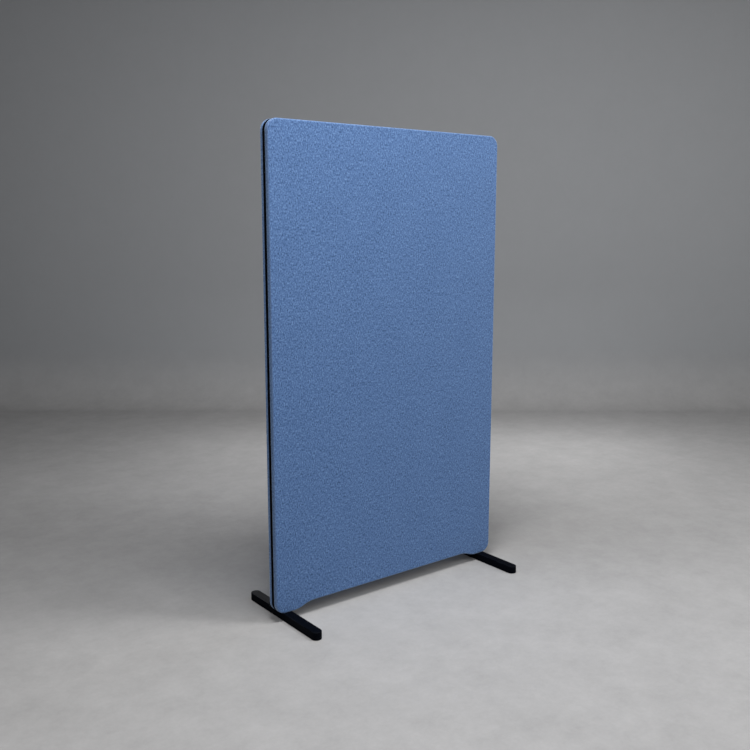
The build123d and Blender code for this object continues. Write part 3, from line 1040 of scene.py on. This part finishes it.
def plant(name, node, tree, seat, material, body="screen"):
    """Puts a tree's fastener on every solid of a CAD node, and settles the piece.

    seat gives the point and the turn from the solid's low and high corners and its middle.
    """
    places = [seat(*box) for box in solid_boxes(node)]
    settle(tree.run_on(name, places, material), body, node)


def foot_seat(low, high, middle):
    """The middle of a solid's underside."""
    return (middle.x, middle.y, low.z), UP


def screw_seat(low, high, middle):
    """The middle of a channel screw's face, with the screw's turn."""
    if high.z - low.z > high.x - low.x:
        return (middle.x, 0.0, high.z), UP
    if middle.x > 0:
        return (high.x, 0.0, middle.z), ALONG_X
    return (low.x, 0.0, middle.z), BACK_X


class SCREEN_OT_fabric_covers(bpy.types.Operator):
    """Stretches the blue cloth over the front and rear shells"""

    bl_idname = "screen.fabric_covers"
    bl_label = "Fabric covers"

    def execute(self, context):
        sizes = context.scene.panel_sizes
        material = make_weave(context.scene.screen_colours)
        sides = panel_sides(sizes, step=20 * MM, turns=8)
        turn, back = sizes.groove_round, sizes.half_core
        profile = quarter_profile(sizes.face_round, sizes.half_thickness, steps=6)
        profile += [(0.0, sizes.half_thickness - 9 * MM), (0.0, back + turn + 1.5 * MM)]
        for index in range(4):
            angle = math.pi / 2 * index / 3
            profile.append((turn * (1 - math.cos(angle)), back + turn * (1 - math.sin(angle))))
        profile += [(8 * MM, back), (sizes.hem_width, back)]
        for name, hand in SHELLS:
            seed = context.scene.studio_settings.seed * hand

            def lift(x, z):
                edge = min(sizes.width / 2 - abs(x), z - sizes.lug_height, sizes.height - z)
                fade = min(1.0, max(0.0, (edge - sizes.face_round) / sizes.margin))
                fade = fade * fade * (3 - 2 * fade)
                wave = 0.5 + 0.5 * noise.noise(Vector((x * 3.3, z * 2.1, seed)))
                return fade * (sizes.crown + sizes.ripple * wave)

            cover = panel_skin(f"{name}_cloth_cover", sides, profile, lift, hand)
            solid = cover.modifiers.new("Cloth thickness", "SOLIDIFY")
            solid.thickness = sizes.cloth
            solid.offset = -1.0
            settle(cover, "screen", f"{name}_fabric_cover", material, angle=60.0)
        return {"FINISHED"}


class SCREEN_OT_absorber_pads(bpy.types.Operator):
    """Presses the felt pads that lie under the cloth"""

    bl_idname = "screen.absorber_pads"
    bl_label = "Absorber pads"

    def execute(self, context):
        sizes = context.scene.panel_sizes
        material = make_felt("grey_felt", context.scene.screen_colours.felt, 320.0)
        sides = panel_sides(sizes, step=40 * MM, turns=5)
        edge, front = sizes.face_round - sizes.cloth, sizes.pad_front - PLAY
        profile = quarter_profile(edge, front, steps=4)
        back = sizes.pad_back
        profile += [(0.0, back + 2 * PLAY), (2 * PLAY, back + PLAY), (4 * MM, back)]
        profile = [(sizes.pad_inset + inset, depth) for inset, depth in profile]
        for name, hand in SHELLS:

            def lift(x, z):
                return 0.06 * MM * noise.noise(Vector((x * 40, z * 40, hand)))

            slab = panel_skin(f"{name}_absorber_slab", sides, profile, lift, hand, closed=True)
            settle(slab, "screen", f"{name}_absorber_pad", material)
        return {"FINISHED"}


class SCREEN_OT_core(bpy.types.Operator):
    """Finishes the timber frame and the boards, and fills the frame with its fibre slabs"""

    bl_idname = "screen.core"
    bl_label = "Frame, boards and core"

    def execute(self, context):
        colours = context.scene.screen_colours
        stain_top = context.scene.panel_sizes.stain_top
        for name, along, stain, nodes in (
            ("upright", 2, None, ("left_stile", "right_stile")),
            ("level", 0, None, ("top_rail", "middle_rail")),
            ("stained", 0, colours.stain, ("bottom_rail",)),
        ):
            pale, dark = colours.timber, colours.timber_dark
            paint(make_timber(f"timber_{name}", pale, dark, along, stain, stain_top), *nodes)
        paint(make_board(colours), "front_backing_board", "rear_backing_board")
        fibre = make_felt("core_fibre", colours.fibre, 520.0)
        for name in ("lower", "upper"):
            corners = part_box(f"{name}_core_slab")
            slab = new_object(f"{name}_fibre_slab", [])
            work = bmesh.new()
            bmesh.ops.create_cube(work, size=1.0)
            for vertex in work.verts:
                vertex.co = Vector([corners[vertex.co[axis] >= 0][axis] for axis in range(3)])
            bmesh.ops.bevel(work, geom=work.edges, offset=1.2 * MM, segments=2, affect="EDGES")
            long = [edge for edge in work.edges if edge.calc_length() > 200 * MM]
            bmesh.ops.subdivide_edges(work, edges=long, cuts=11, use_grid_fill=True)
            for vertex in work.verts:
                if not corners[0].y + MM <= vertex.co.y <= corners[1].y - MM:
                    sink = 0.15 * MM * (1 + noise.noise(vertex.co * 25))
                    vertex.co.y -= math.copysign(sink, vertex.co.y)
            bmesh.ops.recalc_face_normals(work, faces=work.faces)
            # A bevel hands out its parts in another order each run, so they are sorted.
            for parts in (work.verts, work.edges, work.faces):
                parts.sort(key=along_slant)
            work.to_mesh(slab.data)
            work.free()
            settle(slab, "screen", f"{name}_core_slab", fibre)
        return {"FINISHED"}


class SCREEN_OT_staples(bpy.types.Operator):
    """Drives the staples through the hems"""

    bl_idname = "screen.staples"
    bl_label = "Staples"

    def execute(self, context):
        material = make_metal("staple_wire", context.scene.screen_colours.wire, 0.35)
        tree = staple_tree(context.scene.fastener_sizes)
        back = context.scene.panel_sizes.half_core
        for name, hand in SHELLS:

            def seat(low, high, middle):
                upright = high.x - low.x <= high.z - low.z
                turn = (0.0, math.pi / 2 * upright, math.pi * (hand < 0))
                return (middle.x, -hand * back, middle.z), turn

            plant(f"{name}_hem_staples", f"{name}_staples", tree, seat, material)
        return {"FINISHED"}


class SCREEN_OT_clips(bpy.types.Operator):
    """Sets the push-in clips that hold the shells to the frame"""

    bl_idname = "screen.clips"
    bl_label = "Shell clips"

    def execute(self, context):
        material = make_plastic("white_nylon", context.scene.screen_colours.nylon, 0.42)
        tree = clip_tree(context.scene.fastener_sizes)
        back = context.scene.panel_sizes.half_core
        for name, hand in SHELLS:

            def seat(low, high, middle):
                return (middle.x, -hand * back, middle.z), (-hand * math.pi / 2, 0.0, 0.0)

            plant(f"{name}_shell_clips", f"{name}_clip_studs", tree, seat, material)
        paint(material, "clip_sockets")
        return {"FINISHED"}


class SCREEN_OT_dowels(bpy.types.Operator):
    """Sets the fluted dowels in the frame's joints"""

    bl_idname = "screen.dowels"
    bl_label = "Frame dowels"

    def execute(self, context):
        beech = context.scene.screen_colours.beech
        material = make_timber("beech_dowel", beech, [part * 0.75 for part in beech], 2)
        tree = dowel_tree(context.scene.fastener_sizes)

        def seat(low, high, middle):
            return middle, ALONG_X if high.x - low.x > high.z - low.z else UP

        plant("fluted_dowels", "frame_dowels", tree, seat, material)
        return {"FINISHED"}


class SCREEN_OT_channels(bpy.types.Operator):
    """Draws the black channels and corner inserts along the groove round the edge"""

    bl_idname = "screen.channels"
    bl_label = "Edge channels"

    def execute(self, context):
        panel, sizes = context.scene.panel_sizes, context.scene.channel_sizes
        shade = context.scene.screen_colours.channel
        upright = make_plastic("black_channel_upright", shade, 0.52, along=2, specular=0.05)
        level = make_plastic("black_channel_level", shade, 0.52, along=0, specular=0.05)
        insert = make_plastic("black_corner_insert", shade, 0.55, specular=0.05)
        side, top = panel.width / 2 - sizes.inset, panel.height - sizes.inset
        low, high = CHANNEL_LOW.z, CHANNEL_HIGH.z
        left, right = TOP_CHANNEL_LOW.x, TOP_CHANNEL_HIGH.x
        runs = [
            ("left", [(-side, low), (-side, high)], upright),
            ("right", [(side, high), (side, low)], upright),
            ("top", [(left, top), (right, top)], level),
        ]
        x, low, high = panel.width / 2 - panel.corner_radius, low - sizes.gap, high + sizes.gap
        radius = panel.corner_radius - sizes.inset
        cut_angle = math.degrees(math.acos((sizes.tenon - x) / radius))
        for name, centre, start, end in (
            ("top_left", (-x, high), 180.0, 90.0),
            ("top_right", (x, high), 90.0, 0.0),
            ("bottom_right", (x, low), 0.0, -cut_angle),
            ("bottom_left", (-x, low), 180.0 + cut_angle, 180.0),
        ):
            run = [tuple(point) for point, way in arc_run(centre, radius, start, end, 14)]
            runs.append((name, run, insert))
        tree = channel_tree(sizes)
        places = [screw_seat(*box) for box in solid_boxes("channel_screws")]
        cutters = screw_hole_tree(sizes).run_on("screw_holes", places, None)
        for name, run, material in runs:
            corner = material == insert
            old, new = CORNER_NAMES if corner else CHANNEL_NAMES
            edges = [(index, index + 1) for index in range(len(run) - 1)]
            host = new_object(f"{name}_{new}", [(x, 0.0, z) for x, z in run], edges)
            piece = tree.run(host, material)
            if not corner:
                drill = piece.modifiers.new("Screw holes", "BOOLEAN")
                drill.operation = "DIFFERENCE"
                drill.object = cutters
                drill.solver = "EXACT"
                bake(piece, drill)
            settle(piece, "screen", f"{name}_{old}", angle=50.0)
        bpy.data.objects.remove(cutters)
        return {"FINISHED"}


class SCREEN_OT_channel_screws(bpy.types.Operator):
    """Drives the countersunk screws that hold the channels"""

    bl_idname = "screen.channel_screws"
    bl_label = "Channel screws"

    def execute(self, context):
        material = make_metal("black_screw", context.scene.screen_colours.screw, 0.4, metallic=0.4)
        tree = channel_screw_tree(context.scene.channel_sizes)
        plant("countersunk_screws", "channel_screws", tree, screw_seat, material)
        return {"FINISHED"}


class SCREEN_OT_feet(bpy.types.Operator):
    """Coats the bar feet, and sets their screws and inserts"""

    bl_idname = "screen.feet"
    bl_label = "Feet and foot screws"

    def execute(self, context):
        sizes, colours = context.scene.fastener_sizes, context.scene.screen_colours
        paint(make_coat(colours), "left_foot_bar", "right_foot_bar")
        zinc = make_metal("zinc_screw", colours.zinc, 0.36)
        brass = make_metal("insert_brass", colours.brass, 0.34)
        screws, inserts = foot_screw_tree(sizes), insert_tree(sizes)
        plant("socket_screws", "foot_screws", screws, foot_seat, zinc)
        plant("threaded_inserts", "foot_inserts", inserts, foot_seat, brass)
        return {"FINISHED"}


class SCREEN_OT_glides(bpy.types.Operator):
    """Sets the four levelling glides, each with its threaded stud"""

    bl_idname = "screen.glides"
    bl_label = "Levelling glides"

    def execute(self, context):
        sizes, colours = context.scene.glide_sizes, context.scene.screen_colours
        pads, studs = glide_pad_tree(sizes), glide_stud_tree(sizes)
        nylon = make_plastic("glide_nylon", colours.glide, 0.5)
        zinc = make_metal("zinc_stud", colours.zinc, 0.32)
        for corner in GLIDES:
            body = f"{corner}_glide"
            plant(f"{body}_foot", f"{body}_pad", pads, foot_seat, nylon, body)
            plant(f"{body}_thread", f"{body}_stud", studs, foot_seat, zinc, body)
        return {"FINISHED"}


class SCREEN_OT_studio(bpy.types.Operator):
    """Sets up the floor, the backdrop, the lamps and the camera"""

    bl_idname = "screen.studio"
    bl_label = "Studio"

    def execute(self, context):
        studio, colours = context.scene.studio_settings, context.scene.screen_colours
        self.camera(context.scene, studio)
        sweep = self.backdrop(studio, colours)
        self.room(context.scene, studio, colours)
        self.lamp("right_lamp", (2.9, -3.3, 2.3), 1.5, studio.right_power)
        self.lamp("left_lamp", (-2.3, -2.3, 3.0), 1.5, studio.left_power)
        for side, x, y, height, share in (
            ("left", -0.6, -0.6, 3.5, 1.0), ("right", 0.8, -1.1, 3.6, 0.80),
        ):
            self.lamp(f"{side}_ceiling_lamp", (x, y, height), 0.8, studio.over_power * share, True)
        back = self.lamp("back_lamp", (0.9, 3.0, 2.2), 1.4, studio.back_power)
        off_floor = bpy.data.collections.new("not_lit_from_behind")
        off_floor.objects.link(sweep)
        off_floor.collection_objects[0].light_linking.link_state = "EXCLUDE"
        back.light_linking.receiver_collection = off_floor
        only_floor = bpy.data.collections.new("floor_behind_the_screen")
        only_floor.objects.link(sweep)
        for side, x, y, share in (
            ("right", 2.20, 0.88, 1.0), ("middle", 1.51, 1.41, 0.86), ("left", 0.66, 2.07, 0.66),
        ):
            far = self.lamp(f"far_{side}_lamp", (x, y, 0.9), 0.5, studio.far_power * share, True)
            far.light_linking.receiver_collection = only_floor
            far.light_linking.blocker_collection = only_floor
        return {"FINISHED"}

    def stand(self, name, data, place, way):
        """A camera or lamp at a place, looking along a way. Returns it."""
        made = bpy.data.objects.new(name, data)
        bpy.context.scene.collection.objects.link(made)
        made.location = place
        made.rotation_mode = "QUATERNION"
        made.rotation_quaternion = way.to_track_quat("-Z", "Y")
        return made

    def camera(self, scene, studio):
        """The camera, at the photograph's place and angle."""
        data = bpy.data.cameras.new("camera")
        data.lens = studio.lens
        data.sensor_width = studio.sensor
        yaw, pitch = studio.camera_yaw, studio.camera_pitch
        level = math.cos(pitch)
        way = Vector((math.sin(yaw) * level, math.cos(yaw) * level, -math.sin(pitch)))
        scene.camera = self.stand("camera", data, studio.camera_place, way)

    def lamp(self, name, place, width, watts, straight_down=False):
        """A soft square lamp, turned to the screen's middle or straight down. Returns it."""
        data = bpy.data.lights.new(name, "AREA")
        data.energy = watts
        data.size = width
        way = Vector((0.0, 0.0, -1.0)) if straight_down else Vector(LIT_MIDDLE) - Vector(place)
        lamp = self.stand(name, data, place, way)
        lamp.visible_camera = False
        return lamp

    def backdrop(self, studio, colours):
        """A floor that sweeps up into the wall behind the screen. Returns it."""
        yaw, radius, wall = studio.camera_yaw, studio.sweep_radius, studio.wall_distance
        ahead = Vector((math.sin(yaw), math.cos(yaw), 0.0))
        beside = Vector((math.cos(yaw), -math.sin(yaw), 0.0))
        start = wall - radius
        line = [(-FLOOR_BEHIND_CAMERA, 0.0), (start, 0.0)]
        for index in range(1, 17):
            angle = math.pi / 2 * index / 16
            line.append((start + radius * math.sin(angle), radius * (1 - math.cos(angle))))
        line.append((wall, WALL_HEIGHT))
        points = [
            ahead * distance + beside * reach + Vector((0.0, 0.0, height))
            for distance, height in line for reach in (-HALF_FLOOR, HALF_FLOOR)
        ]
        faces = [(at, at + 1, at + 3, at + 2) for at in range(0, len(points) - 2, 2)]
        sweep = new_object("studio_sweep", points, (), faces)
        sweep.data.materials.append(make_floor(colours, studio))
        sweep.data.shade_smooth()
        return sweep

    def room(self, scene, studio, colours):
        """The even light of the room, and what the camera sees past the backdrop."""
        world = scene.world = bpy.data.worlds.new("room")
        world.use_nodes = True
        net = Net(world.node_tree)
        background = next(node for node in net.tree.nodes if node.type == "BACKGROUND")
        path = net.node("ShaderNodeLightPath").outputs
        seen = net.math("MAXIMUM", path["Is Camera Ray"], path["Is Glossy Ray"])
        light = [studio.room_light] * 3
        net.feed(background.inputs["Color"], blend_colours(net, seen, light, colours.beyond))
        background.inputs["Strength"].default_value = 1.0
        scene.view_settings.view_transform = "Standard"


OPERATORS = (
    SCREEN_OT_studio,
    SCREEN_OT_absorber_pads,
    SCREEN_OT_fabric_covers,
    SCREEN_OT_core,
    SCREEN_OT_staples,
    SCREEN_OT_clips,
    SCREEN_OT_dowels,
    SCREEN_OT_channels,
    SCREEN_OT_channel_screws,
    SCREEN_OT_feet,
    SCREEN_OT_glides,
)

GROUPS = {
    "panel_sizes": PanelSizes,
    "channel_sizes": ChannelSizes,
    "fastener_sizes": FastenerSizes,
    "glide_sizes": GlideSizes,
    "screen_colours": ScreenColours,
    "studio_settings": StudioSettings,
}


class SCREEN_PT_parts(bpy.types.Panel):
    """Lists the screen's sizes, colours and pieces"""

    bl_idname = "SCREEN_PT_parts"
    bl_label = "Divider screen"
    bl_space_type = "VIEW_3D"
    bl_region_type = "UI"
    bl_category = "Screen"

    def draw(self, context):
        for name in GROUPS:
            box = self.layout.box()
            box.label(text=name.replace("_", " ").capitalize())
            group = getattr(context.scene, name)
            for item in group.bl_rna.properties:
                if item.identifier not in ("rna_type", "name"):
                    box.prop(group, item.identifier)
        for operator in OPERATORS:
            self.layout.operator(operator.bl_idname)


def register():
    """Registers the classes and gives the scene its property groups."""
    for name, group in GROUPS.items():
        bpy.utils.register_class(group)
        setattr(bpy.types.Scene, name, PointerProperty(type=group))
    for operator in (*OPERATORS, SCREEN_PT_parts):
        bpy.utils.register_class(operator)


def unregister():
    """Takes back what register() did."""
    for operator in (SCREEN_PT_parts, *OPERATORS[::-1]):
        bpy.utils.unregister_class(operator)
    for name, group in reversed(GROUPS.items()):
        delattr(bpy.types.Scene, name)
        bpy.utils.unregister_class(group)


def main():
    """Builds every piece and the studio."""
    register()
    for operator in OPERATORS:
        getattr(bpy.ops.screen, operator.bl_idname.split(".")[1])()


if __name__ == "__main__":
    main()
